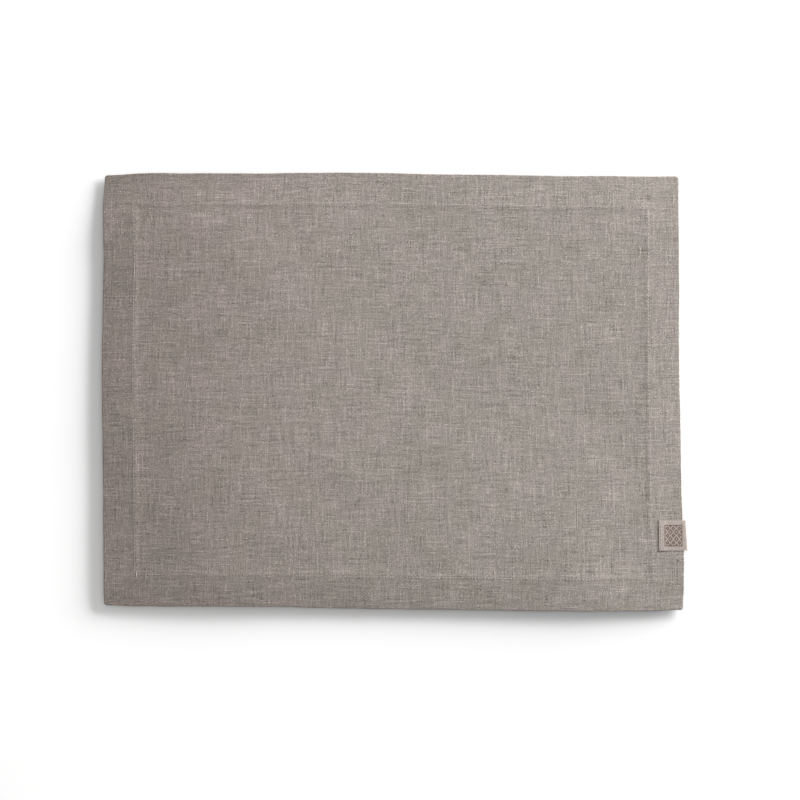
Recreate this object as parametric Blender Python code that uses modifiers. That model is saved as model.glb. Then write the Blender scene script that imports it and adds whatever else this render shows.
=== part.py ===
# A cloth placemat lying on a table: one hemmed sheet, and a tape label folded round its right edge.
# Metres, +X to the right, +Y to the back, +Z up. The origin is under the middle of the whole thing.

import math

import bpy
import numpy as np

# The mat's four corners, before the edges bow.
CORNERS = {
    "front_left": (-0.2404, -0.1773),
    "front_right": (0.2413, -0.1815),
    "back_left": (-0.2398, 0.1803),
    "back_right": (0.2377, 0.1796),
}

# How far each edge bows out from the straight line between its corners.
# Columns: place along the edge (0 to 1, left to right or front to back), distance outwards.
BOWS = {
    "front": (
        (0.0, 0.0),
        (0.05, 0.0007),
        (0.28, 0.0002),
        (0.46, 0.0011),
        (0.78, 0.0017),
        (0.94, 0.0011),
        (1.0, 0.0),
    ),
    "back": (
        (0.0, 0.0),
        (0.08, 0.0020),
        (0.22, 0.0018),
        (0.44, 0.0027),
        (0.60, 0.0014),
        (0.84, 0.0001),
        (1.0, 0.0),
    ),
    "left": (
        (0.0, 0.0),
        (0.07, 0.0003),
        (0.25, 0.0009),
        (0.55, 0.0021),
        (0.82, 0.0008),
        (0.93, 0.0015),
        (1.0, 0.0),
    ),
    "right": (
        (0.0, 0.0),
        (0.06, 0.0011),
        (0.13, 0.0014),
        (0.30, -0.0001),
        (0.60, -0.0008),
        (0.80, -0.0001),
        (1.0, 0.0),
    ),
}

# How high the cloth stands off the table under the hem line of each edge.
# Columns: place along the edge (0 to 1, left to right or front to back), height.
LIFTS = {
    "front": ((0.0, 0.0020), (0.22, 0.0029), (0.50, 0.0023), (0.80, 0.0028), (1.0, 0.0020)),
    "back": ((0.0, 0.0010), (0.30, 0.0014), (0.62, 0.0008), (1.0, 0.0011)),
    "left": ((0.0, 0.0021), (0.28, 0.0030), (0.58, 0.0025), (0.84, 0.0029), (1.0, 0.0014)),
    "right": ((0.0, 0.0018), (0.17, 0.0020), (0.50, 0.0018), (0.80, 0.0011), (1.0, 0.0012)),
}
LIFT_REACH = 0.115
EDGE_DROOP = 0.0006

# The hem in section: the thickness of the cloth at each distance from the edge.
# The outer part is two layers, and the turned-in raw edge makes three near the hem line.
HEM_SECTION = (
    (0.0, 0.0019),
    (0.005, 0.0020),
    (0.018, 0.0020),
    (0.023, 0.0023),
    (0.0265, 0.0023),
    (0.0295, 0.0016),
    (0.0325, 0.0011),
)
HEM_WIDTH = 0.0275
HEM_THICKEST = max(thickness for distance, thickness in HEM_SECTION)
EDGE_ROUND = 0.0006
MARGIN_STATIONS = 5
FIELD_PITCH = 0.018

# The label: a tape folded round the edge, with one leaf above the hem and one below it.
LABEL_FRONT = -0.1321
LABEL_BACK = -0.1071
LABEL_LEAF_END = 0.2212
LABEL_FOLD_FRONT = 0.2454
LABEL_FOLD_BACK = 0.2439
LABEL_THICKNESS = 0.0010
LABEL_GAP = 0.0003
LABEL_LEAF_STATIONS = 6
LABEL_FOLD_STATIONS = 9
LABEL_ROWS = 6

CLOTH_COLOUR = (0.33, 0.285, 0.255, 1.0)
LABEL_COLOUR = (0.52, 0.45, 0.40, 1.0)


def clear_scene():
    for obj in list(bpy.data.objects):
        bpy.data.objects.remove(obj, do_unlink=True)


def smooth_step(value):
    value = np.clip(value, 0.0, 1.0)
    return value * value * (3.0 - 2.0 * value)


def along(table, place):
    """Reads a two-column table at a place, easing from one row to the next."""
    places, values = np.array(table).T
    row = int(np.clip(np.searchsorted(places, place, side="right") - 1, 0, len(places) - 2))
    share = (place - places[row]) / (places[row + 1] - places[row])
    return values[row] + (values[row + 1] - values[row]) * float(smooth_step(share))


def edge_point(name, start, end, outward, place):
    """A point of one bowed edge, at a place from 0 to 1 along it."""
    start = np.array(CORNERS[start])
    end = np.array(CORNERS[end])
    return start + (end - start) * place + np.array(outward) * along(BOWS[name], place)


def outline_to_table(across, up):
    """Carries a place in the unit square, 0 to 1 each way, to its place inside the four bowed edges."""
    front = edge_point("front", "front_left", "front_right", (0.0, -1.0), across)
    back = edge_point("back", "back_left", "back_right", (0.0, 1.0), across)
    left = edge_point("left", "front_left", "back_left", (-1.0, 0.0), up)
    right = edge_point("right", "front_right", "back_right", (1.0, 0.0), up)
    corners = {name: np.array(corner) for name, corner in CORNERS.items()}
    low = (1.0 - across) * corners["front_left"] + across * corners["front_right"]
    high = (1.0 - across) * corners["back_left"] + across * corners["back_right"]
    between_rows = (1.0 - up) * front + up * back
    between_columns = (1.0 - across) * left + across * right
    return between_rows + between_columns - ((1.0 - up) * low + up * high)


def mat_size():
    """The mat's mean width and depth, between its corners."""
    front_left, front_right, back_left, back_right = (np.array(corner) for corner in CORNERS.values())
    width = (front_right - front_left + back_right - back_left)[0] / 2.0
    depth = (back_left - front_left + back_right - front_right)[1] / 2.0
    return float(width), float(depth)


MAT_WIDTH, MAT_DEPTH = mat_size()


def edge_distances(across, up):
    return {
        "front": up * MAT_DEPTH,
        "back": (1.0 - up) * MAT_DEPTH,
        "left": across * MAT_WIDTH,
        "right": (1.0 - across) * MAT_WIDTH,
    }


def edge_lift(name, place, distance):
    """The height that one edge gives: up from the table to the hem line, then drooping to the edge."""
    rise = smooth_step((LIFT_REACH - distance) / (LIFT_REACH - HEM_WIDTH))
    droop = EDGE_DROOP * max(0.0, 1.0 - distance / HEM_WIDTH) ** 2
    return max(0.0, along(LIFTS[name], place) * float(rise) - droop)


def underside(across, up):
    """The height of the cloth's underside. It is exactly 0 over the middle, which lies on the table."""
    distances = edge_distances(across, up)
    lifts = [
        edge_lift(name, across if name in ("front", "back") else up, distance)
        for name, distance in distances.items()
    ]
    return sum(lift**3 for lift in lifts) ** (1.0 / 3.0)


def thickness(across, up):
    distances, thicknesses = np.array(HEM_SECTION).T
    nearest = min(edge_distances(across, up).values())
    return float(np.interp(nearest, distances, thicknesses))


def stations(length):
    """Grid lines across one side: close together in the hem, wider over the margin, even over the middle."""
    hem = [distance for distance, _ in HEM_SECTION]
    margin = np.linspace(hem[-1], LIFT_REACH, MARGIN_STATIONS + 1)[1:]
    side = hem + list(margin)
    middle = length - 2.0 * LIFT_REACH
    steps = math.ceil(middle / FIELD_PITCH)
    inner = [LIFT_REACH + middle * step / steps for step in range(1, steps)]
    return [line / length for line in side + inner + [length - line for line in reversed(side)]]


def cloth_material(name, colour, roughness):
    material = bpy.data.materials.new(name)
    material.use_nodes = True
    shader = material.node_tree.nodes["Principled BSDF"]
    shader.inputs["Base Color"].default_value = colour
    shader.inputs["Roughness"].default_value = roughness
    shader.inputs["Metallic"].default_value = 0.0
    return material


def grid_object(name, columns, rows, collection, material):
    """A flat grid of columns by rows points, and the column and row of each of its vertices."""
    bpy.ops.mesh.primitive_grid_add(x_subdivisions=columns - 1, y_subdivisions=rows - 1, size=2.0)
    obj = bpy.context.object
    obj.name = name
    obj.data.name = name
    for holder in list(obj.users_collection):
        holder.objects.unlink(obj)
    collection.objects.link(obj)
    obj.data.materials.append(material)
    places = [
        (round((vertex.co.x + 1.0) / 2.0 * (columns - 1)), round((vertex.co.y + 1.0) / 2.0 * (rows - 1)))
        for vertex in obj.data.vertices
    ]
    return obj, places


def solidify(obj, depth, side):
    """Gives a sheet its thickness, along its normals (side 1) or against them (side -1)."""
    shell = obj.modifiers.new("Thickness", "SOLIDIFY")
    shell.thickness = depth
    shell.offset = side
    return shell


def mat_cloth(collection):
    """The hemmed sheet: its underside as a grid, thickened upwards by what the hem section says."""
    columns = stations(MAT_WIDTH)
    rows = stations(MAT_DEPTH)
    material = cloth_material("linen", CLOTH_COLOUR, 0.9)
    obj, places = grid_object("mat_cloth", len(columns), len(rows), collection, material)
    group = obj.vertex_groups.new(name="thickness")
    for vertex, (column, row) in zip(obj.data.vertices, places):
        across = columns[column]
        up = rows[row]
        vertex.co = (*outline_to_table(across, up), underside(across, up))
        group.add([vertex.index], thickness(across, up) / HEM_THICKEST, "REPLACE")
    shell = solidify(obj, HEM_THICKEST, 1.0)
    shell.vertex_group = group.name
    rounding = obj.modifiers.new("Rounded edge", "BEVEL")
    rounding.width = EDGE_ROUND
    rounding.segments = 2
    rounding.limit_method = "ANGLE"
    rounding.angle_limit = math.radians(60.0)
    return obj


def unit_place(x, y):
    """The place in the unit square of a point on the table, found by stepping closer to it."""
    across = 0.5 + x / MAT_WIDTH
    up = 0.5 + y / MAT_DEPTH
    for _ in range(6):
        found = outline_to_table(across, up)
        across += (x - found[0]) / MAT_WIDTH
        up += (y - found[1]) / MAT_DEPTH
    return across, up


def label_section(y):
    """The label's inner face at one place along the edge, from the end of its lower leaf to the upper's.

    The leaves follow the hem's two faces with a small gap. The fold is half an ellipse past the edge.
    """
    up = unit_place(0.0, y)[1]
    edge = float(outline_to_table(1.0, up)[0])
    share = (y - LABEL_FRONT) / (LABEL_BACK - LABEL_FRONT)
    fold = LABEL_FOLD_FRONT + (LABEL_FOLD_BACK - LABEL_FOLD_FRONT) * share
    leaf = np.linspace(LABEL_LEAF_END, edge, LABEL_LEAF_STATIONS)
    places = [unit_place(min(x, edge), y) for x in leaf]
    lower = np.array([underside(*place) - LABEL_GAP for place in places])
    upper = np.array([underside(*place) + thickness(*place) + LABEL_GAP for place in places])
    angles = np.linspace(-math.pi / 2, math.pi / 2, LABEL_FOLD_STATIONS + 2)[1:-1]
    half_height = (upper[-1] - lower[-1]) / 2.0
    depth = fold - LABEL_THICKNESS - edge
    fold_x = edge + depth * np.cos(angles)
    fold_z = lower[-1] + half_height + half_height * np.sin(angles)
    return np.column_stack(
        (np.concatenate((leaf, fold_x, leaf[::-1])), np.concatenate((lower, fold_z, upper[::-1])))
    )


def label_tape(collection):
    """The folded label: its inner face as a grid of sections along the edge, thickened outwards."""
    lines = np.linspace(LABEL_FRONT, LABEL_BACK, LABEL_ROWS)
    sections = [label_section(y) for y in lines]
    material = cloth_material("label_tape", LABEL_COLOUR, 0.75)
    obj, places = grid_object("label_tape", len(sections[0]), LABEL_ROWS, collection, material)
    for vertex, (column, row) in zip(obj.data.vertices, places):
        x, z = sections[row][column]
        vertex.co = (x, lines[row], z)
    shell = solidify(obj, LABEL_THICKNESS, -1.0)
    shell.use_even_offset = True
    return obj


def centre_on_table(objects):
    """Moves the whole thing so that the origin is under the middle of its box, at the table."""
    bpy.context.view_layer.update()
    graph = bpy.context.evaluated_depsgraph_get()
    meshes = [obj.evaluated_get(graph).data for obj in objects]
    points = np.array([tuple(vertex.co) for mesh in meshes for vertex in mesh.vertices])
    low = points.min(axis=0)
    high = points.max(axis=0)
    for obj in objects:
        obj.location = (-(low[0] + high[0]) / 2.0, -(low[1] + high[1]) / 2.0, -low[2])


def shade(objects):
    for obj in objects:
        obj.data.shade_smooth()
        obj.data.set_sharp_from_angle(angle=math.radians(40.0))


clear_scene()
placemat = bpy.data.collections.new("placemat")
bpy.context.scene.collection.children.link(placemat)
pieces = [mat_cloth(placemat), label_tape(placemat)]
centre_on_table(pieces)
shade(pieces)
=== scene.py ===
# A natural linen placemat with a wide stitched hem and a folded tape label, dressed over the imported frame.
import math

import bmesh
import bpy
import numpy as np
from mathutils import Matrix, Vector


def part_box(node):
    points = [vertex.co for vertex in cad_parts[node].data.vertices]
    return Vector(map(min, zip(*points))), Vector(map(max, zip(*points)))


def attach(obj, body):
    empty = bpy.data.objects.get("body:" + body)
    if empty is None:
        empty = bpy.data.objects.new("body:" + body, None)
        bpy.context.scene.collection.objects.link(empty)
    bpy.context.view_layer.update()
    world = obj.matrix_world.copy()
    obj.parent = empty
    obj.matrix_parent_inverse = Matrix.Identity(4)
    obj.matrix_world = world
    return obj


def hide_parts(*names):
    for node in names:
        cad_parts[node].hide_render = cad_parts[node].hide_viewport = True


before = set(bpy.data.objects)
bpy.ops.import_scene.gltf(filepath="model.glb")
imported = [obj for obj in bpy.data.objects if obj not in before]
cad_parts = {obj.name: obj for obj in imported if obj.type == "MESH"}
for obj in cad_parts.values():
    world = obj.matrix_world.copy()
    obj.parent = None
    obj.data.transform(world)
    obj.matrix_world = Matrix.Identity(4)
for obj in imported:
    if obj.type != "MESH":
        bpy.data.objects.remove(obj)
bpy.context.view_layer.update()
print("frame loaded:", sorted(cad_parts))

sides = ("front", "back", "left", "right")

# The mat's outline. Distances are in metres.
outline = {
    # how far each corner sits in from the corner of the mat's box: across, then up the table
    "cornerInsets": {
        "frontLeft": (0.0018, 0.0051),
        "frontRight": (0.0009, 0.0009),
        "backLeft": (0.0024, 0.0025),
        "backRight": (0.0045, 0.0032),
    },
    # how far each edge bows out: (place along the edge, distance)
    "bows": {
        "front": (
            (0, 0), (0.05, 0.0007), (0.28, 0.0002), (0.46, 0.0011), (0.78, 0.0017), (0.94, 0.0011), (1, 0)
        ),
        "back": (
            (0, 0), (0.08, 0.0020), (0.22, 0.0018), (0.44, 0.0027), (0.60, 0.0014), (0.84, 0.0001), (1, 0)
        ),
        "left": (
            (0, 0), (0.07, 0.0003), (0.25, 0.0009), (0.55, 0.0021), (0.82, 0.0008), (0.93, 0.0015), (1, 0)
        ),
        "right": (
            (0, 0), (0.06, 0.0011), (0.13, 0.0014), (0.30, -0.0001),
            (0.60, -0.0008), (0.80, -0.0001), (1, 0),
        ),
    },
    "wander": 0.00016,          # small unevenness of the pressed edge
    "wanderWave": 0.031,        # its usual wave length
    "cornerRound": 0.0024,
}

# How the cloth lies: lifted margins, soft ripples, puckers along the stitching.
lie = {
    # height of each margin's crest: (place along the side, height)
    "lifts": {
        "front": ((0, 0.0027), (0.22, 0.0036), (0.50, 0.0031), (0.80, 0.0034), (1, 0.0021)),
        "back": ((0, 0.0010), (0.30, 0.0011), (0.62, 0.0008), (1, 0.0010)),
        "left": ((0, 0.0030), (0.24, 0.0044), (0.55, 0.0038), (0.84, 0.0040), (1, 0.0023)),
        "right": ((0, 0.0011), (0.17, 0.0012), (0.50, 0.0010), (0.80, 0.0011), (1, 0.0011)),
    },
    # how far in from the edge a margin starts to rise, and where its crest is
    "reach": {"front": 0.205, "back": 0.150, "left": 0.300, "right": 0.186},
    "crest": {"front": 0.022, "back": 0.0275, "left": 0.075, "right": 0.0275},
    # how far the edge falls below the crest: (place along the side, distance)
    "droops": {
        "front": ((0, 0.0012), (0.18, 0.0010), (0.50, 0.0004), (1, 0.0001)),
        "back": ((0, -0.0005), (0.22, -0.0005), (0.48, -0.0002), (1, -0.0001)),
        "left": ((0, 0.0014), (0.22, 0.0018), (0.50, 0.0011), (0.75, 0.0015), (1, 0.0012)),
        "right": ((0, 0.0), (0.25, 0.0), (0.55, 0.0001), (0.85, -0.0003), (1, -0.0004)),
    },
    "ripple": 0.00030,
    "rippleWave": 0.085,
    "pucker": 0.00010,
    "puckerWave": 0.0135,
    "puckerPlace": 0.96,        # in shares of the hem's width, like the next
    "puckerReach": 0.24,
}

# The cloth and its folded hem. Places in the hem are shares of its width, from the edge inwards.
cloth = {
    "thickness": 0.00042,
    "layerGap": 0.00005,
    "hem": {"front": 0.0276, "back": 0.0262, "left": 0.0267, "right": 0.0270},
    "hemWander": 0.018,
    "hemWave": 0.045,
    "ridge": 0.11,              # how unevenly the hem's inner fold stands up, in layers
    "ridgeWave": 0.022,
    "ridgePlace": 0.99,
    "ridgeReach": 0.06,
    "stitchLine": 0.95,
    "ringReach": 1.42,          # where the mesh of the sides gives way to that of the field
    "pitch": 0.0037,            # spacing of the mesh lines along the edges
    "cornerLines": (0.0, 0.0006, 0.0012, 0.0018, 0.0025, 0.0040, 0.0065),
}

# Heights in the hem, in layers over the lowest one: (share of the hem's width, layers). The turned-in
# end bulges down more than up, because the margin is clear of the table.
topSection = (
    (0.0, 1.0), (0.25, 1.0), (0.40, 1.02), (0.55, 1.04), (0.68, 1.04), (0.88, 1.04), (0.93, 1.06),
    (0.96, 1.09), (0.98, 1.12), (1.0, 1.12), (1.02, 1.08), (1.05, 0.98), (1.08, 0.87), (1.11, 0.79),
    (1.17, 0.71), (1.28, 0.63), (1.6, 0.46), (2.4, 0.19), (3.6, 0.0),
)
lowSection = ((0.0, 0.0), (0.25, 0.0), (0.48, -0.75), (0.60, -0.90), (0.97, -0.90), (1.0, -0.85))

# Where the mesh lines lie, in shares of the hem's width: over its top, along its underside and along
# its turned-in end. Each fold has a number of lines round it.
topShares = (
    0.011, 0.025, 0.05, 0.10, 0.20, 0.30, 0.38, 0.46, 0.54, 0.63, 0.73, 0.83, 0.90, 0.93, 0.95, 0.97,
    0.985, 1.0, 1.01, 1.02, 1.033, 1.045, 1.058, 1.07, 1.09, 1.12, 1.18, 1.28, cloth["ringReach"],
)
hemShares = (0.025, 0.06, 0.15, 0.30, 0.45, 0.60, 0.75, 0.87, 0.94)
flapShares = (0.94, 0.82, 0.68, 0.54)
foldSteps = 6

matLow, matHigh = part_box("mat_cloth")
labelLow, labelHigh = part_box("label_tape")
insets = outline["cornerInsets"]
corners = {
    "frontLeft": np.array((matLow.x + insets["frontLeft"][0], matLow.y + insets["frontLeft"][1])),
    "frontRight": np.array((matHigh.x - insets["frontRight"][0], matLow.y + insets["frontRight"][1])),
    "backLeft": np.array((matLow.x + insets["backLeft"][0], matHigh.y - insets["backLeft"][1])),
    "backRight": np.array((matHigh.x - insets["backRight"][0], matHigh.y - insets["backRight"][1])),
}
acrossTwice = corners["frontRight"] - corners["frontLeft"] + corners["backRight"] - corners["backLeft"]
upTwice = corners["backLeft"] - corners["frontLeft"] + corners["backRight"] - corners["frontRight"]
matWidth, matDepth = float(acrossTwice[0]) / 2, float(upTwice[1]) / 2
layer = cloth["thickness"] + cloth["layerGap"]


# Reads rows of (place, value) at every place given, easing from one row to the next.
def readTable(rows, place):
    places, values = np.array(rows, float).T
    row = np.clip(np.searchsorted(places, place, side="right") - 1, 0, len(places) - 2)
    share = np.clip((place - places[row]) / (places[row + 1] - places[row]), 0, 1)
    share = share * share * (3 - 2 * share)
    return values[row] + (values[row + 1] - values[row]) * share


# A rolling surface between -1 and 1: the mean of many sine waves of about one length, each with
# its own direction and start, all from one seed.
def rolling(x, y, wave, seed, count=14):
    draw = np.random.default_rng(seed)
    turn = draw.uniform(0, 2 * math.pi, count)
    length = wave * draw.uniform(0.65, 1.6, count)
    start = draw.uniform(0, 2 * math.pi, count)
    total = np.zeros(np.broadcast(x, y).shape)
    for angle, metres, phase in zip(turn, length, start):
        total = total + np.sin((x * math.cos(angle) + y * math.sin(angle)) * 2 * math.pi / metres + phase)
    return np.clip(total / (count * 0.45), -1, 1)


# Rounds the rectangle's corners: inside each corner square, the nested squares become nested arcs.
def roundCorners(x, y):
    radius = outline["cornerRound"]
    fromX, fromY = np.minimum(x, matWidth - x), np.minimum(y, matDepth - y)
    a, b = np.clip(1 - fromX / radius, 0, 1), np.clip(1 - fromY / radius, 0, 1)
    pull = np.where((a > 0) & (b > 0), np.maximum(a, b) / np.maximum(np.hypot(a, b), 1e-9), 1.0)
    shiftX, shiftY = radius * a * (1 - pull), radius * b * (1 - pull)
    return x + np.where(x < matWidth / 2, shiftX, -shiftX), y + np.where(y < matDepth / 2, shiftY, -shiftY)


# Carries a place on the true rectangle to the table: the four corners are blended by the two
# shares, and each edge's bow is added in full at that edge and fades to none at the other.
def ontoTable(x, y):
    x, y = roundCorners(np.asarray(x, float), np.asarray(y, float))
    across, up = x / matWidth, y / matDepth
    bow = {}
    for number, side in enumerate(sides):
        place = across if side in ("front", "back") else up
        length = matWidth if side in ("front", "back") else matDepth
        uneven = outline["wander"] * rolling(place * length, place * 0, outline["wanderWave"], 40 + number)
        bow[side] = readTable(outline["bows"][side], place) + uneven
    weights = {
        "frontLeft": (1 - across) * (1 - up),
        "frontRight": across * (1 - up),
        "backLeft": (1 - across) * up,
        "backRight": across * up,
    }
    tableX = sum(weights[name] * corners[name][0] for name in corners)
    tableY = sum(weights[name] * corners[name][1] for name in corners)
    tableX = tableX - (1 - across) * bow["left"] + across * bow["right"]
    tableY = tableY - (1 - up) * bow["front"] + up * bow["back"]
    return tableX, tableY


# The place on the true rectangle that lies at a point of the table, found by stepping closer.
def offTable(tableX, tableY):
    x, y = tableX + matWidth / 2, tableY + matDepth / 2
    for _ in range(7):
        foundX, foundY = ontoTable(x, y)
        x, y = x + tableX - foundX, y + tableY - foundY
    return x, y


# Distance from each edge, as a share of that side's hem. The least of the four is a point's share,
# and it wanders a little because the hem's fold isn't ruled straight.
def hemShare(x, y):
    hem = cloth["hem"]
    share = np.minimum.reduce([
        y / hem["front"], (matDepth - y) / hem["back"], x / hem["left"], (matWidth - x) / hem["right"]
    ])
    return share * (1 + cloth["hemWander"] * rolling(x, y, cloth["hemWave"], 21))


# Height of the cloth's lowest face: each side's margin rises from the table to its crest and
# droops to its edge, the four are joined by the cube root of their cubes, and ripples that never
# go below the table and puckers beside the stitching are added.
def underside(x, y):
    x, y = np.asarray(x, float), np.asarray(y, float)
    distance = {"front": y, "back": matDepth - y, "left": x, "right": matWidth - x}
    total = 0
    for side in sides:
        place = x / matWidth if side in ("front", "back") else y / matDepth
        reach, crest = lie["reach"][side], lie["crest"][side]
        rise = np.clip((reach - distance[side]) / (reach - crest), 0, 1)
        lift = readTable(lie["lifts"][side], place) * rise * rise * (3 - 2 * rise)
        droop = readTable(lie["droops"][side], place) * np.clip(1 - distance[side] / crest, 0, 1) ** 2
        total = total + np.maximum(lift - droop, 0) ** 3
    ripple = lie["ripple"] * (0.5 + 0.5 * rolling(x, y, lie["rippleWave"], 11))
    besideStitching = np.exp(-((hemShare(x, y) - lie["puckerPlace"]) / lie["puckerReach"]) ** 2)
    pucker = lie["pucker"] * (0.5 + 0.5 * rolling(x, y, lie["puckerWave"], 12)) * besideStitching
    return np.cbrt(total) + ripple + pucker


# The mat is let down by the height of its lowest place, found on an even grid.
sampleX, sampleY = np.meshgrid(np.linspace(0, matWidth, 300), np.linspace(0, matDepth, 220))
restHeight = float(underside(sampleX, sampleY).min())


# Middle of the cloth that lies the given number of layers up.
def clothHeight(x, y, layers):
    return underside(x, y) - restHeight + cloth["thickness"] / 2 + layers * layer


# How many layers up a cloth runs at a share of the hem's width, read along a section.
def layersAt(section, share):
    shares, layers = np.array(section).T
    return np.interp(share, shares, layers)


# How many layers up the top cloth runs: its section, with an uneven ridge added at the hem's inner
# fold that fades out as a bell curve to both sides.
def topLayers(x, y):
    share = hemShare(x, y)
    fade = np.exp(-((share - cloth["ridgePlace"]) / cloth["ridgeReach"]) ** 2)
    return layersAt(topSection, share) + cloth["ridge"] * rolling(x, y, cloth["ridgeWave"], 22) * fade


# The faces that show, from above and from below the hem.
def topFace(x, y):
    return clothHeight(x, y, topLayers(x, y)) + cloth["thickness"] / 2


def lowFace(x, y):
    return clothHeight(x, y, layersAt(lowSection, hemShare(x, y))) - cloth["thickness"] / 2


# A mesh in the scene. Flat holds each point's place on the cloth when it is laid out, for the weave.
def meshPiece(name, points, faces, flat=None):
    mesh = bpy.data.meshes.new(name)
    faces = faces.tolist() if hasattr(faces, "tolist") else faces
    mesh.from_pydata(np.asarray(points, float).tolist(), [], faces)
    if flat is not None:
        corner = np.empty(len(mesh.loops), np.int32)
        mesh.loops.foreach_get("vertex_index", corner)
        layerUv = mesh.uv_layers.new(name="flat")
        layerUv.data.foreach_set("uv", np.asarray(flat, np.float32)[corner].ravel())
    piece = bpy.data.objects.new(name, mesh)
    bpy.context.scene.collection.objects.link(piece)
    return piece


# Quads of a grid of rows by columns points, numbered row by row from first.
def gridFaces(rows, columns, first=0):
    row, column = np.meshgrid(np.arange(rows - 1), np.arange(columns - 1), indexing="ij")
    corner = (first + row * columns + column).ravel()
    return np.stack((corner, corner + 1, corner + columns + 1, corner + columns), axis=1)


# A brightness for each point of a piece, which its material reads.
def addTone(piece, tones):
    shade = piece.data.attributes.new("tone", "FLOAT", "POINT")
    shade.data.foreach_set("value", np.asarray(tones, np.float32))


def weld(piece, distance=1e-6):
    bm = bmesh.new()
    bm.from_mesh(piece.data)
    bmesh.ops.remove_doubles(bm, verts=bm.verts, dist=distance)
    bmesh.ops.recalc_face_normals(bm, faces=bm.faces)
    bm.to_mesh(piece.data)
    bm.free()


def thicken(piece, thickness):
    shell = piece.modifiers.new("Thickness", "SOLIDIFY")
    shell.thickness = thickness
    shell.offset = 0
    piece.data.shade_smooth()
    return shell


# The spacing of mesh lines along one side, as shares of it: close at the corners, even between.
def sideLines(length):
    near = np.array(cloth["cornerLines"])
    count = int(round((length - 2 * near[-1]) / cloth["pitch"]))
    middle = np.linspace(near[-1], length - near[-1], count + 1)[1:-1]
    return np.concatenate((near, middle, length - near[::-1])) / length


# The hem in section, from the field out over the top, round the edge, back under, and round into
# the turned-in end. Columns: share of the hem's width, layers up, and metres of cloth past the edge.
def hemSection(width):
    top = np.column_stack((topShares, layersAt(topSection, topShares)))[::-1]
    radius = layer / 2 / width
    turn = np.linspace(math.pi / 2, -math.pi / 2, foldSteps + 2)[1:-1]
    outer = np.column_stack((radius - radius * np.cos(turn), 0.5 + 0.5 * np.sin(turn)))
    under = np.column_stack((hemShares, layersAt(lowSection, hemShares)))
    inner = np.column_stack((1 - radius + radius * np.cos(turn), under[-1, 1] + 0.5 - 0.5 * np.sin(turn)))
    flap = np.column_stack((flapShares, 1 + layersAt(lowSection, flapShares)))
    path = np.concatenate((top, outer, under, inner, flap))
    steps = np.hypot(np.diff(path[:, 0]) * width, np.diff(path[:, 1]) * layer)
    run = np.concatenate(([0], np.cumsum(steps)))
    past = run - run[len(top) - 1] - radius * width
    return path[:, 0], path[:, 1], np.where(np.arange(len(path)) < len(top), -path[:, 0] * width, past)


# One side of the hem: each line of the section runs from mitre to mitre, between the rectangle's
# edge and the inner rectangle where the field starts.
def hemBlock(side):
    hem, reach = cloth["hem"], cloth["ringReach"]
    lowX, highX = reach * hem["left"], matWidth - reach * hem["right"]
    lowY, highY = reach * hem["front"], matDepth - reach * hem["back"]
    shares, layers, past = hemSection(hem[side])
    blend = (shares / reach)[:, None]
    if side in ("front", "back"):
        place = sideLines(matWidth)[None, :]
        edge, start = (0, lowY) if side == "front" else (matDepth, highY)
        x = place * matWidth * (1 - blend) + (lowX + place * (highX - lowX)) * blend
        y = edge * (1 - blend) + start * blend + place * 0
        flat = np.stack((x, past[:, None] * (-1 if side == "front" else 1) + edge + place * 0), axis=-1)
    else:
        place = sideLines(matDepth)[None, :]
        edge, start = (0, lowX) if side == "left" else (matWidth, highX)
        y = place * matDepth * (1 - blend) + (lowY + place * (highY - lowY)) * blend
        x = edge * (1 - blend) + start * blend + place * 0
        flat = np.stack((past[:, None] * (-1 if side == "left" else 1) + edge + place * 0, y), axis=-1)
    tableX, tableY = ontoTable(x, y)
    layers = layers[:, None] + place * 0
    layers[:len(topShares)] = topLayers(x, y)[:len(topShares)]
    return np.stack((tableX, tableY, clothHeight(x, y, layers)), axis=-1), flat


# The field inside the hem: an even grid between the inner corners of the four sides.
def fieldBlock():
    hem, reach = cloth["hem"], cloth["ringReach"]
    acrossLines, upLines = sideLines(matWidth), sideLines(matDepth)
    x = reach * hem["left"] + acrossLines * (matWidth - reach * (hem["left"] + hem["right"]))
    y = reach * hem["front"] + upLines * (matDepth - reach * (hem["front"] + hem["back"]))
    y, x = np.meshgrid(y, x, indexing="ij")
    tableX, tableY = ontoTable(x, y)
    points = np.stack((tableX, tableY, clothHeight(x, y, topLayers(x, y))), axis=-1)
    return points, np.stack((x, y), axis=-1)


def makeMat():
    points, flats, faces, first = [], [], [], 0
    for block in [fieldBlock()] + [hemBlock(side) for side in sides]:
        rows, columns = block[0].shape[:2]
        points.append(block[0].reshape(-1, 3))
        flats.append(block[1].reshape(-1, 2))
        faces.append(gridFaces(rows, columns, first))
        first += rows * columns
    piece = meshPiece("linen_mat", np.concatenate(points), np.concatenate(faces), np.concatenate(flats))
    weld(piece)
    thicken(piece, cloth["thickness"])
    return piece


mat = makeMat()
print("mat made:", len(mat.data.polygons), "faces before its thickness")

# Threads: each is a tube along a short path of points, tapered at both ends.
threads = {
    "hemPitch": 0.0027,
    "hemLength": 0.0021,
    "labelPitch": 0.0025,
    "mitrePitch": 0.0023,
    "mitreLength": 0.001575,
    "mitreEnds": (0.08, 0.90),  # in shares of the hem's width
    "radius": 0.00021,
    "stand": 0.00004,           # how far a stitch's middle stands off the cloth
    "sink": 0.00022,            # how far its ends go in
    "pull": (0.55, 1.1),        # range of a stitch's arch, as a share of the usual one
    "endRadius": 0.55,          # as a share of the radius in the middle
    "rings": 6,
    "around": 6,
}


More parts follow.
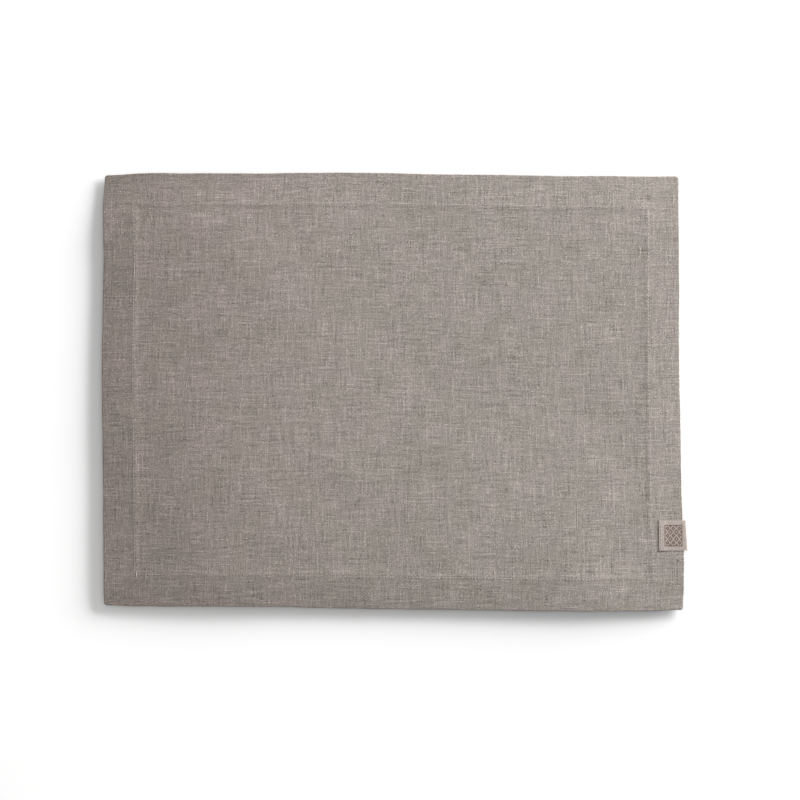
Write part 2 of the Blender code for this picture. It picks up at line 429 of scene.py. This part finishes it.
# Tubes along many short paths at once. Centres are (tube, ring, xyz), sideways is the level unit
# vector across each path, and a ring's points are centre + radius * (cos * sideways + sin * up).
def tubes(centres, sideways, radius, around):
    count, rings = centres.shape[:2]
    angle = np.arange(around) * 2 * math.pi / around
    up = np.array((0.0, 0.0, 1.0))
    spoke = np.cos(angle)[:, None] * sideways[:, :, None, :] + np.sin(angle)[:, None] * up
    points = centres[:, :, None, :] + radius[..., None, None] * spoke
    tube, ring, spot = np.meshgrid(np.arange(count), np.arange(rings - 1), np.arange(around), indexing="ij")
    base = (tube * rings + ring) * around
    after = (spot + 1) % around
    walls = np.stack((base + spot, base + after, base + around + after, base + around + spot), axis=-1)
    start = np.arange(count)[:, None] * rings * around
    low = start + np.arange(around)[::-1][None, :]
    high = start + (rings - 1) * around + np.arange(around)[None, :]
    return points.reshape(-1, 3), walls.reshape(-1, 4).tolist() + low.tolist() + high.tolist()


# A row of lockstitches between two places on the rectangle, on the upper or the lower face. Each
# stitch is an arch, some pulled tighter: its height over the face is a half sine between its sunk
# ends.
def stitchRow(start, end, pitch, length, face, facing):
    start, end = np.array(start, float), np.array(end, float)
    run = np.linalg.norm(end - start)
    count = max(1, int(round(run / pitch)))
    along = (end - start) / run
    share = np.linspace(0, 1, threads["rings"])
    first = (np.arange(count) + 0.5) * run / count - length / 2
    place = first[:, None] + share[None, :] * length
    x, y = start[0] + along[0] * place, start[1] + along[1] * place
    pull = np.random.default_rng(count).uniform(*threads["pull"], (count, 1))
    arch = np.sin(share * math.pi) * (threads["stand"] + threads["sink"]) * pull - threads["sink"]
    tableX, tableY = ontoTable(x, y)
    centres = np.stack((tableX, tableY, face(x, y) + facing * arch), axis=-1)
    sideways = np.broadcast_to(np.array((-along[1], along[0], 0.0)), centres.shape)
    swell = threads["endRadius"] + (1 - threads["endRadius"]) * np.sin(share * math.pi)
    radius = threads["radius"] * swell * np.ones((count, 1))
    return centres, sideways, radius


# The hem's stitches: a ring through all layers near the inner fold, seen on both faces, and a row
# along each mitre underneath.
def makeHemStitches():
    hem, line, length = cloth["hem"], cloth["stitchLine"], threads["hemLength"]
    rows = []

    def ringCorners(share):
        lowX, highX = share * hem["left"], matWidth - share * hem["right"]
        lowY, highY = share * hem["front"], matDepth - share * hem["back"]
        return [(lowX, lowY), (highX, lowY), (highX, highY), (lowX, highY)]

    turns = ringCorners(line)
    for start, end in zip(turns, turns[1:] + turns[:1]):
        rows.append(stitchRow(start, end, threads["hemPitch"], length, topFace, 1))
        rows.append(stitchRow(start, end, threads["hemPitch"], length, lowFace, -1))
    for start, end in zip(*(ringCorners(share) for share in threads["mitreEnds"])):
        rows.append(stitchRow(start, end, threads["mitrePitch"], threads["mitreLength"], lowFace, -1))
    centres, sideways, radius = (np.concatenate(part) for part in zip(*rows))
    return meshPiece("hem_stitches", *tubes(centres, sideways, radius, threads["around"])), len(centres)


hemStitches, stitchCount = makeHemStitches()
hemStitches.data.shade_smooth()
print("hem stitches made:", stitchCount)

# The label: a thin tape folded round the edge, its raw ends turned under.
label = {
    "thickness": 0.00018,
    "gap": 0.00003,
    "turnUnder": 0.0042,
    "slant": 0.0015,            # the fold reaches further out at the front corner than at the back
    "rows": 22,
    "leafSteps": 30,
    "foldSteps": 19,
    "rim": (0.0, 0.00009, 0.0003),          # mesh lines near its two woven edges
    "flapLines": (1.0, 0.7, 0.4, 0.1),      # and along a turned-under end
    "squareness": 0.62,         # 1 would be an ellipse, less is flatter with a tighter fold
    "softStep": 0.0026,         # over which a leaf comes down from its turned-under end
    "stitchInset": 0.0019,      # of the row from the label's sewn end
    "sewInset": 0.0009,         # of the row's ends from the woven edges
}


# The label in section at one line along the edge: the turned-under end of its upper leaf, a crease,
# the leaf over the hem, half of a squared ellipse past the edge, and the same again underneath.
def labelPoints():
    t, gap, turnUnder = label["thickness"], label["gap"], label["turnUnder"]
    rim = np.array(label["rim"])
    span = labelHigh.y - labelLow.y
    middle = np.linspace(rim[-1], span - rim[-1], label["rows"])[1:-1]
    y = labelLow.y + np.concatenate((rim, middle, span - rim[::-1]))[:, None]
    edgeX = ontoTable(np.full_like(y, matWidth), offTable(np.zeros_like(y), y)[1])[0]
    foldX = labelHigh.x - t / 2 - label["slant"] * (y - labelLow.y) / span
    crease = (t + gap / 2) / 2
    endX = labelLow.x + t / 2 + crease
    leafX = endX + (edgeX - endX) * np.linspace(0, 1, label["leafSteps"])[None, :]
    doubled = np.clip(1 - (leafX - endX - turnUnder) / label["softStep"], 0, 1)
    doubled = doubled * doubled * (3 - 2 * doubled) * 2 * crease
    placeX, placeY = offTable(leafX, y + 0 * leafX)
    upper = topFace(placeX, placeY) + gap + t / 2 + doubled
    lower = lowFace(placeX, placeY) - gap - t / 2 - doubled
    flapX = endX + turnUnder * np.array(label["flapLines"])[None, :] + 0 * y
    flapPlace = offTable(flapX, y + 0 * flapX)
    flapUpper = topFace(*flapPlace) + gap + t / 2
    flapLower = lowFace(*flapPlace) - gap - t / 2
    turn = np.linspace(-math.pi / 2, math.pi / 2, label["foldSteps"] + 2)[None, 1:-1]
    creaseX = endX - crease * np.cos(turn) + 0 * y
    middle, half = (upper[:, -1:] + lower[:, -1:]) / 2, (upper[:, -1:] - lower[:, -1:]) / 2
    bendX = edgeX + (foldX - edgeX) * np.cos(turn) ** label["squareness"]
    bendZ = middle - half * np.sign(turn) * np.abs(np.sin(turn)) ** label["squareness"]
    x = np.concatenate((flapX, creaseX, leafX, bendX, leafX[:, ::-1], creaseX, flapX[:, ::-1]), axis=1)
    z = np.concatenate((
        flapUpper, upper[:, :1] - crease + crease * np.sin(turn), upper, bendZ,
        lower[:, ::-1], lower[:, :1] + crease + crease * np.sin(turn), flapLower[:, ::-1]
    ), axis=1)
    points = np.stack((x, y + 0 * x, z), axis=-1)
    steps = np.linalg.norm(np.diff(points, axis=1), axis=2)
    run = np.concatenate((np.zeros((len(y), 1)), np.cumsum(steps, axis=1)), axis=1)
    leafStart = flapX.shape[1] + creaseX.shape[1]
    flat = np.stack((run - run[:, leafStart:leafStart + 1], y - labelLow.y + 0 * run), axis=-1)
    return points, flat, float(run[:, -1].mean())


def makeLabel():
    points, flat, length = labelPoints()
    rows, columns = points.shape[:2]
    piece = meshPiece("side_label", points.reshape(-1, 3), gridFaces(rows, columns), flat.reshape(-1, 2))
    weld(piece)
    thicken(piece, label["thickness"])
    return piece, length


sideLabel, labelLength = makeLabel()
print("label made, tape length", round(labelLength, 4))


# The label's stitches: one row near its sewn end, through the hem, on the upper and lower leaf.
def makeLabelStitches():
    doubled = label["gap"] * 1.5 + label["thickness"] * 2
    x = labelLow.x + label["stitchInset"]
    inset = label["sewInset"]
    ends = offTable(np.array((x, x)), np.array((labelLow.y + inset, labelHigh.y - inset)))
    start, end = np.transpose(ends)

    def upperLeaf(x, y):
        return topFace(x, y) + doubled

    def lowerLeaf(x, y):
        return lowFace(x, y) - doubled

    rows = [
        stitchRow(start, end, threads["labelPitch"], threads["hemLength"], face, facing)
        for face, facing in ((upperLeaf, 1), (lowerLeaf, -1))
    ]
    centres, sideways, radius = (np.concatenate(part) for part in zip(*rows))
    return meshPiece("label_stitches", *tubes(centres, sideways, radius, threads["around"]))


labelStitches = makeLabelStitches()
labelStitches.data.shade_smooth()

# Slubs: thick places in the yarns, lying along the weave both ways.
slubs = {
    "count": 900,
    "seed": 5,
    "shortest": 0.0012,
    "longest": 0.034,
    "scarcity": 8,              # the higher, the fewer long ones
    "thin": 0.00018,
    "thick": 0.00040,
    "stout": 0.004,             # up to about this length they keep their thickness
    "thinning": 0.3,            # how fast longer ones get thinner
    "sway": 0.00022,
    "proud": 0.55,              # share of its radius that a slub's middle stands over the cloth
    "endRadius": 0.3,           # as a share of the radius in the middle
    "rings": 9,
    "darkShare": 0.12,
    "darkTones": (0.5, 0.8),
    "lightTones": (1.1, 1.6),
    "edgeClear": 0.0015,
    "labelClear": 0.001,
    "fibreScale": 1100.0,
    # the ones that stand out: x and y on the table, length, along the weft or not, radius, tone
    "placed": (
        (0.2330, -0.1655, 0.0315, False, 0.00026, 1.45),
        (-0.2151, -0.1548, 0.0058, False, 0.00043, 1.60),
        (0.2345, -0.1404, 0.0026, True, 0.00050, 0.45),
        (0.2180, -0.0993, 0.0130, True, 0.00030, 1.55),
        (0.1377, -0.1245, 0.0110, True, 0.00034, 1.60),
        (0.1526, -0.1237, 0.0400, False, 0.00026, 1.40),
        (0.0580, -0.0836, 0.0225, False, 0.00026, 1.40),
        (0.0825, -0.1520, 0.0028, False, 0.00050, 1.75),
        (-0.1251, -0.1223, 0.0026, True, 0.00048, 1.70),
        (0.1710, -0.0903, 0.0160, True, 0.00026, 1.45),
    ),
}


# Slubs as tubes: each starts at a random place and follows the warp or the weft over the cloth's
# face, swaying by a sine, and swells towards its middle. Their lengths are mostly short. A few
# listed ones are placed after them.
def makeSlubs():
    draw = np.random.default_rng(slubs["seed"])
    count, clear = slubs["count"], slubs["edgeClear"]
    spread = slubs["longest"] - slubs["shortest"]
    length = slubs["shortest"] + spread * draw.random(count) ** slubs["scarcity"]
    weft = draw.random(count) < 0.5
    x0 = clear + draw.random(count) * (matWidth - 2 * clear - length * weft)
    y0 = clear + draw.random(count) * (matDepth - 2 * clear - length * ~weft)
    slimming = (slubs["stout"] / (slubs["stout"] + length)) ** slubs["thinning"]
    thick = draw.uniform(slubs["thin"], slubs["thick"], count) * slimming
    dark = draw.random(count) < slubs["darkShare"]
    darkTone = draw.uniform(*slubs["darkTones"], count)
    tone = np.where(dark, darkTone, draw.uniform(*slubs["lightTones"], count))
    placedX, placedY, placedLength, placedWeft, placedThick, placedTone = np.array(slubs["placed"]).T
    placedX, placedY = offTable(placedX, placedY)
    x0, y0 = np.append(x0, placedX)[:, None], np.append(y0, placedY)[:, None]
    length, thick = np.append(length, placedLength)[:, None], np.append(thick, placedThick)[:, None]
    weft, tone = np.append(weft, placedWeft > 0)[:, None], np.append(tone, placedTone)

    share = np.linspace(0, 1, slubs["rings"])[None, :]
    sway = slubs["sway"] * np.sin(share * 5 + draw.random((len(tone), 1)) * 6)
    x = x0 + np.where(weft, share * length, sway)
    y = y0 + np.where(weft, sway, share * length)
    swell = np.sin(share * math.pi) ** 0.6
    radius = thick * (slubs["endRadius"] + (1 - slubs["endRadius"]) * swell)
    tableX, tableY = ontoTable(x, y)
    height = topFace(x, y) - radius * (1 - slubs["proud"] * swell)
    clear = slubs["labelClear"]
    besideLabel = (tableY > labelLow.y - clear) & (tableY < labelHigh.y + clear)
    keep = ~((tableX > labelLow.x - clear) & besideLabel).any(axis=1)
    centres = np.stack((tableX, tableY, height), axis=-1)[keep]
    along = weft[keep].astype(float)
    sideways = np.broadcast_to(np.stack((1 - along, along, 0 * along), axis=-1), centres.shape)
    points, faces = tubes(centres, sideways, radius[keep], threads["around"])
    piece = meshPiece("slub_yarns", points, faces)
    addTone(piece, np.repeat(tone[keep], slubs["rings"] * threads["around"]))
    piece.data.shade_smooth()
    return piece


slubYarns = makeSlubs()
print("slubs made")


# A number running through a material. The usual operators add its Math nodes.
class Signal:
    def __init__(self, shader, socket):
        self.shader = shader
        self.socket = socket

    def __add__(self, other):
        return self.shader.maths("ADD", self, other)

    def __radd__(self, other):
        return self.shader.maths("ADD", other, self)

    def __sub__(self, other):
        return self.shader.maths("SUBTRACT", self, other)

    def __rsub__(self, other):
        return self.shader.maths("SUBTRACT", other, self)

    def __mul__(self, other):
        return self.shader.maths("MULTIPLY", self, other)

    def __rmul__(self, other):
        return self.shader.maths("MULTIPLY", other, self)

    def __truediv__(self, other):
        return self.shader.maths("DIVIDE", self, other)

    def __gt__(self, other):
        return self.shader.maths("GREATER_THAN", self, other)

    def __lt__(self, other):
        return self.shader.maths("LESS_THAN", self, other)


# A material and the ways of adding nodes to it.
class Shader:
    def __init__(self, name, roughness, specular, sheen):
        self.material = bpy.data.materials.new(name)
        self.material.use_nodes = True
        self.tree = self.material.node_tree
        self.surface = self.tree.nodes["Principled BSDF"]
        self.surface.inputs["Roughness"].default_value = roughness
        self.surface.inputs["Specular IOR Level"].default_value = specular
        self.surface.inputs["Sheen Weight"].default_value = sheen
        self.surface.inputs["Sheen Roughness"].default_value = 0.5

    def cover(self, colour, height, strength, distance):
        self.join(self.surface.inputs["Base Color"], colour)
        sockets = {"Height": height, "Strength": strength, "Distance": distance}
        self.join(self.surface.inputs["Normal"], self.put("ShaderNodeBump", {}, sockets))

    def put(self, kind, settings, sockets, output=0):
        node = self.tree.nodes.new(kind)
        for key, value in settings.items():
            setattr(node, key, value)
        for key, value in sockets.items():
            self.join(node.inputs[key], value)
        return Signal(self, node.outputs[output])

    def join(self, socket, value):
        if isinstance(value, Signal):
            self.tree.links.new(value.socket, socket)
        else:
            socket.default_value = value

    def maths(self, operation, *values):
        return self.put("ShaderNodeMath", {"operation": operation}, dict(enumerate(values)))

    def vector(self, x, y, z=0.0):
        return self.put("ShaderNodeCombineXYZ", {}, {0: x, 1: y, 2: z})

    def noise(self, place, detail=0.0, roughness=0.5):
        sockets = {"Vector": place, "Scale": 1.0, "Detail": detail, "Roughness": roughness}
        return self.put("ShaderNodeTexNoise", {"noise_dimensions": "2D"}, sockets)

    def ramp(self, value, low, high):
        sockets = {"Value": value, "From Min": low, "From Max": high}
        return self.put("ShaderNodeMapRange", {"interpolation_type": "SMOOTHSTEP"}, sockets)

    def mix(self, factor, first, second):
        sockets = {0: factor, 6: first, 7: second}
        return self.put("ShaderNodeMix", {"data_type": "RGBA"}, sockets, 2)

    def times(self, first, second):
        return self.put("ShaderNodeVectorMath", {"operation": "MULTIPLY"}, {0: first, 1: second})

    def scale(self, colour, amount):
        return self.put("ShaderNodeVectorMath", {"operation": "SCALE"}, {0: colour, "Scale": amount})

    # the place on the cloth laid out flat
    def flatPlace(self):
        flat = self.put("ShaderNodeUVMap", {"uv_map": "flat"}, {})
        return [self.put("ShaderNodeSeparateXYZ", {}, {0: flat}, output) for output in (0, 1)]

    def pointTone(self):
        return self.put("ShaderNodeAttribute", {"attribute_name": "tone"}, {}, 2)

    def fibres(self, scale):
        sockets = {"Vector": self.put("ShaderNodeTexCoord", {}, {}, 3), "Scale": scale, "Detail": 2.0}
        return self.put("ShaderNodeTexNoise", {"noise_dimensions": "3D"}, sockets)


# Linen: plain weave with uneven yarns. Lengths are in metres of cloth. Where a noise's value is read
# between two limits, they stand as a pair. Plain numbers added to a noise's place only pick another
# part of it.
linen = {
    "finish": {"roughness": 0.92, "specular": 0.22, "sheen": 0.12},
    "warm": (0.209, 0.181, 0.166, 1),
    "cool": (0.200, 0.178, 0.158, 1),
    "hueSize": 0.034,
    "hueLimits": (0.38, 0.62),
    # painted shade and light: the cloth is tinted darker and pinker at the left, away from the lamp, and
    # lighter at the right
    "paintedShadeAndLight": ((1.01, 0.968, 0.970, 1), (1.029, 1.041, 1.027, 1)),     # at the left and at the right
    "paintedShadeAndLightSpan": (-0.02, 0.36),
    "yarn": 0.00064,
    "wander": 0.0010,
    "wanderSize": 0.007,
    # painted shade and light: the cloth is darker between two yarns and lighter over each yarn's round back
    "crossing": (-0.25, 0.25),  # how softly one yarn gives way to the other on top
    "paintedHollowShade": 0.84,         # between two yarns, and what a yarn's back adds to it
    "paintedBackLight": 0.24,
    "longTone": 0.60,
    "longRun": 0.015,
    "shortTone": 0.50,
    "shortRun": 0.0017,
    "oddRun": 0.022,
    "oddLight": 0.42,
    "oddLightLimits": (0.68, 0.76),
    "oddDark": 0.36,
    "oddDarkLimits": (0.32, 0.24),
    "warpStreak": 0.15,
    "weftStreak": 0.26,
    "streakWidth": 0.0010,
    "streakRun": 0.036,
    "blotch": 0.02,
    "blotchSize": 0.016,
    "lightSpeck": 0.66,
    "lightLimits": (0.76, 0.84),
    "darkSpeck": 0.60,
    "darkLimits": (0.25, 0.17),
    "speckSize": 0.00086,
    "speckLength": 2.2,         # a light fleck's, in widths
    "bump": 0.17,
    "bumpDepth": 0.0003,
}


def makeLinen():
    shader = Shader("linen", **linen["finish"])
    u, v = shader.flatPlace()

    # the yarns wander a little
    size, wander = linen["wanderSize"], linen["wander"]
    warpWander = shader.noise(shader.vector(u / size, v / size)) - 0.5
    weftWander = shader.noise(shader.vector(u / size + 31.7, v / size + 5.3)) - 0.5
    warpAcross = (u + warpWander * wander) / linen["yarn"]
    weftAcross = (v + weftWander * wander) / linen["yarn"]

    # each yarn's tone along its length: slow changes and short uneven floats
    def yarnTone(across, along, offset):
        number = shader.maths("FLOOR", across) * 3.71 + offset
        slow = shader.noise(shader.vector(number, along / linen["longRun"]), 1.0) - 0.5
        short = shader.noise(shader.vector(number + 217.3, along / linen["shortRun"])) - 0.5
        odd = shader.noise(shader.vector(number + 511.9, along / linen["oddRun"]))
        oddLight = shader.ramp(odd, *linen["oddLightLimits"]) * linen["oddLight"]
        odd = oddLight - shader.ramp(odd, *linen["oddDarkLimits"]) * linen["oddDark"]
        return slow * linen["longTone"] + short * linen["shortTone"] + odd

    warp = yarnTone(warpAcross, v, 0.37)
    weft = yarnTone(weftAcross, u, 57.13)

    # which yarn is on top at each crossing, and the round back of each yarn
    warpWave = shader.maths("SINE", warpAcross * math.pi)
    weftWave = shader.maths("SINE", weftAcross * math.pi)
    warpOver = shader.ramp(warpWave * weftWave, *linen["crossing"])
    warpBack = shader.maths("ABSOLUTE", warpWave)
    weftBack = shader.maths("ABSOLUTE", weftWave)
    onTop = warp * warpOver + weft * (1 - warpOver)
    back = warpBack * warpOver + weftBack * (1 - warpOver)

    # streaks a few yarns wide, both ways, and blotches
    width, run = linen["streakWidth"], linen["streakRun"]
    streakDown = shader.noise(shader.vector(u / width + 11.0, v / run), 1.0) - 0.5
    streakAcross = shader.noise(shader.vector(u / run, v / width + 23.0), 1.0) - 0.5
    streaks = streakDown * linen["warpStreak"] + streakAcross * linen["weftStreak"]
    blotch = shader.noise(shader.vector(u / linen["blotchSize"], v / linen["blotchSize"]), 2.0) - 0.5

    # light flecks and dark seed coat, drawn out along the yarns
    size = linen["speckSize"]
    long = size * linen["speckLength"]
    warpFleck = shader.noise(shader.vector(u / size + 3.0, v / long))
    weftFleck = shader.noise(shader.vector(u / long + 71.0, v / size))
    light = shader.ramp(shader.maths("MAXIMUM", warpFleck, weftFleck), *linen["lightLimits"])
    grit = shader.noise(shader.vector(u / (size * 1.4) + 19.0, v / (size * 1.1) + 44.0))
    dark = shader.ramp(grit, *linen["darkLimits"])

    tone = 1 + onTop + streaks + blotch * linen["blotch"]
    tone = tone + light * linen["lightSpeck"] - dark * linen["darkSpeck"]
    # painted shade between the yarns and painted light over their round backs
    tone = tone * (linen["paintedHollowShade"] + linen["paintedBackLight"] * back)
    size = linen["hueSize"]
    hue = shader.ramp(shader.noise(shader.vector(u / size + 9.0, v / size), 1.0), *linen["hueLimits"])
    # painted shade and light across the cloth, eased from the left tint to the right one over the span given
    paintedShadeAndLightTint = shader.mix(shader.ramp(u, *linen["paintedShadeAndLightSpan"]), *linen["paintedShadeAndLight"])
    colour = shader.times(shader.mix(hue, linen["warm"], linen["cool"]), paintedShadeAndLightTint)

    height = back * 0.5 + onTop * 0.9 + streaks + light * 0.8
    shader.cover(shader.scale(colour, tone), height, linen["bump"], linen["bumpDepth"])
    return shader.material


mat.data.materials.append(makeLinen())

# Thread and slubs: twisted fibres, lighter than the cloth.
thread = {
    "finish": {"roughness": 0.8, "specular": 0.3, "sheen": 0.1},
    "colour": (0.388, 0.344, 0.308, 1),
    # painted shade: the thread is darker between its fibres
    "paintedFibreShade": 0.8,              # tone between the fibres
    "paintedFibreShadeLimits": (0.3, 0.7),
    "twist": 0.0006,
    "bump": 0.5,
    "bumpDepth": 0.0001,
}


def makeThreadMaterial():
    shader = Shader("thread", **thread["finish"])
    fibres = shader.fibres(1 / thread["twist"])
    paintedFibreShade = tuple(thread["paintedFibreShade"] * part for part in thread["colour"][:3]) + (1,)
    # painted shade between the fibres: darker where the fibre noise, which also gives the bump, is low
    colour = shader.mix(shader.ramp(fibres, *thread["paintedFibreShadeLimits"]), paintedFibreShade, thread["colour"])
    shader.cover(colour, fibres, thread["bump"], thread["bumpDepth"])
    return shader.material


def makeSlubMaterial():
    shader = Shader("slub", **linen["finish"])
    fibres = shader.fibres(slubs["fibreScale"])
    # each slub's own tone, with painted shade between the fibres where the fibre noise, which also gives the
    # bump, is low
    tone = shader.pointTone() * (0.8 + 0.4 * fibres)
    colour = shader.scale(shader.mix(fibres, linen["warm"], linen["cool"]), tone)
    shader.cover(colour, fibres, thread["bump"], thread["bumpDepth"])
    return shader.material


threadMaterial = makeThreadMaterial()
hemStitches.data.materials.append(threadMaterial)
labelStitches.data.materials.append(threadMaterial)
slubYarns.data.materials.append(makeSlubMaterial())

# The label's tape: a fine rib, with a woven block of small diamonds.
tape = {
    "finish": {"roughness": 0.8, "specular": 0.3, "sheen": 0.15},
    "colour": (0.270, 0.231, 0.208, 1),
    "figure": (0.083, 0.048, 0.036, 1),
    "rib": 0.00048,
    "pick": 0.000384,
    "unevenRun": 0.004,
    "fleckSize": 0.0009,
    "blockWidth": 0.0150,
    "blockHeight": 0.0180,
    "diamondWidth": 0.0050,
    "diamondHeight": 0.0060,
    "border": 0.0007,
    "ringShift": 0.08,          # of the diamonds' rings, in shares of their spacing
    "ringEdge": 0.22,
    "bump": 0.6,
    "bumpDepth": 0.0002,
}


def makeTape():
    shader = Shader("label_tape", **tape["finish"])
    u, v = shader.flatPlace()
    x = u - (labelHigh.x - labelLow.x) * 0.5
    y = v - (labelHigh.y - labelLow.y) * 0.5
    fromX, fromY = shader.maths("ABSOLUTE", x), shader.maths("ABSOLUTE", y)
    halfWidth, halfHeight, border = tape["blockWidth"] / 2, tape["blockHeight"] / 2, tape["border"]
    inside = (fromX < halfWidth) * (fromY < halfHeight)
    inner = (fromX < halfWidth - border) * (fromY < halfHeight - border)

    def triangle(value, width):
        return shader.maths("PINGPONG", value / width, 0.5) * 2

    diamond = triangle(x, tape["diamondWidth"]) + triangle(y, tape["diamondHeight"])
    rings = shader.maths("PINGPONG", diamond + tape["ringShift"], 0.5) > tape["ringEdge"]
    figure = inside - inner + inner * rings
    rib = shader.maths("SINE", v * (2 * math.pi / tape["rib"]))
    pick = shader.maths("SINE", u * (2 * math.pi / tape["pick"]))
    number = shader.maths("FLOOR", v / tape["rib"]) * 2.93
    uneven = shader.noise(shader.vector(number, u / tape["unevenRun"]), 1.0) - 0.5
    fleck = shader.noise(shader.vector(u / tape["fleckSize"], v / tape["fleckSize"]), 1.0) - 0.5
    tone = 1 + uneven * 0.30 + fleck * 0.28 + rib * pick * 0.05
    colour = shader.mix(figure * (0.86 + fleck * 0.5), tape["colour"], tape["figure"])
    height = rib * 0.3 + pick * rib * 0.2 + uneven * 0.5 + figure * 0.35
    shader.cover(shader.scale(colour, tone), height, tape["bump"], tape["bumpDepth"])
    return shader.material


sideLabel.data.materials.append(makeTape())
print("materials made")

for piece in (mat, hemStitches, slubYarns, sideLabel, labelStitches):
    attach(piece, "root")
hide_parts("mat_cloth")
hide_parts("label_tape")

# Cut size of the cloth: the finished mat, its hem and its turned-in end on each side, less the
# cloth that the mitres take away at the corners.
hem = cloth["hem"]
allowance = {side: hem[side] * (2 - flapShares[-1]) for side in sides}
cutWidth = matWidth + allowance["left"] + allowance["right"]
cutDepth = matDepth + allowance["front"] + allowance["back"]
cutArea = cutWidth * cutDepth - 4 * (sum(allowance.values()) / 4) ** 2
print("cloth cut to", round(cutWidth, 4), "by", round(cutDepth, 4))

# Floor, light and camera.
stage = {
    "floorSize": 8.0,
    "floorLines": 161,
    "floorDrop": 0.0002,
    "floorFinish": {"roughness": 0.7, "specular": 0.2, "sheen": 0.0},
    "floorColour": (0.99, 0.99, 0.99),
    "floorWhite": 1.045,        # brightness to which the floor is evened out
    "evened": (1.1, 0.5),       # from the middle: no evening beyond the first, all within the second
    "skyColour": (1, 0.992, 0.986, 1),
    "skyStrength": 0.56,
    "lens": 100,
    "sensor": 36,
    "sight": 50,
    "frameWidth": 0.6672,       # what the picture spans at the mat
    "centre": (0.0042, -0.0069),
}
lights = {
    "key": {"place": (1.46, 1.07, 0.30), "size": (1.5, 0.58), "power": 190, "colour": (0.99, 0.997, 1.0)},
}


# Light that a lamp gives the floor: the mean over spots on the lamp's face of the cosine at the lamp
# times the cosine at the floor, over the distance squared, times its power over pi squared.
def lampLight(values, points):
    place, (width, height) = np.array(values["place"]), values["size"]
    axis = -place / np.linalg.norm(place)
    side = np.array((-axis[1], axis[0], 0)) / np.hypot(axis[0], axis[1])
    across, up = np.meshgrid(np.linspace(-0.4, 0.4, 5) * width, np.linspace(-0.4, 0.4, 5) * height)
    total = 0
    for a, b in zip(across.ravel(), up.ravel()):
        spot = place + a * side + b * np.cross(side, axis)
        ray = points - spot
        distance = np.linalg.norm(ray, axis=-1)
        total = total + np.maximum(ray @ axis, 0) * spot[2] / distance ** 4
    return values["power"] / math.pi ** 2 * total / across.size


# The floor is toned down where the light is strong, so that it looks evenly white around the mat.
def makeFloor():
    half, lines = stage["floorSize"] / 2, stage["floorLines"]
    y, x = np.meshgrid(np.linspace(-half, half, lines), np.linspace(-half, half, lines), indexing="ij")
    points = np.stack((x, y, np.full_like(x, -stage["floorDrop"])), axis=-1).reshape(-1, 3)
    light = stage["skyStrength"] + sum(lampLight(values, points) for values in lights.values())
    evened = np.minimum(stage["floorWhite"] / (light * stage["floorColour"][0]), 1)
    far, near = stage["evened"]
    share = np.clip((far - np.hypot(points[:, 0], points[:, 1])) / (far - near), 0, 1)
    floor = meshPiece("floor", points, gridFaces(lines, lines))
    addTone(floor, 1 + (evened - 1) * share * share * (3 - 2 * share))
    shader = Shader("floor", **stage["floorFinish"])
    shader.join(shader.surface.inputs["Base Color"], shader.scale(stage["floorColour"], shader.pointTone()))
    floor.data.materials.append(shader.material)


def makeLight(name, values):
    lamp = bpy.data.lights.new(name, "AREA")
    lamp.shape = "RECTANGLE"
    lamp.size, lamp.size_y = values["size"]
    lamp.energy = values["power"]
    lamp.color = values["colour"]
    holder = bpy.data.objects.new(name, lamp)
    holder.location = values["place"]
    holder.rotation_euler = holder.location.to_track_quat("Z", "Y").to_euler()
    bpy.context.scene.collection.objects.link(holder)


def makeCamera():
    lens = bpy.data.cameras.new("camera")
    lens.lens = stage["lens"]
    lens.sensor_width = stage["sensor"]
    lens.clip_end = stage["sight"]
    camera = bpy.data.objects.new("camera", lens)
    camera.location = (*stage["centre"], stage["frameWidth"] * stage["lens"] / stage["sensor"])
    bpy.context.scene.collection.objects.link(camera)
    bpy.context.scene.camera = camera


makeFloor()
for name, values in lights.items():
    makeLight(name, values)
makeCamera()
world = bpy.data.worlds.new("studio")
world.use_nodes = True
sky = world.node_tree.nodes["Background"]
sky.inputs["Color"].default_value = stage["skyColour"]
sky.inputs["Strength"].default_value = stage["skyStrength"]
bpy.context.scene.world = world
bpy.context.scene.view_settings.view_transform = "Standard"
print("floor, lights and camera made")
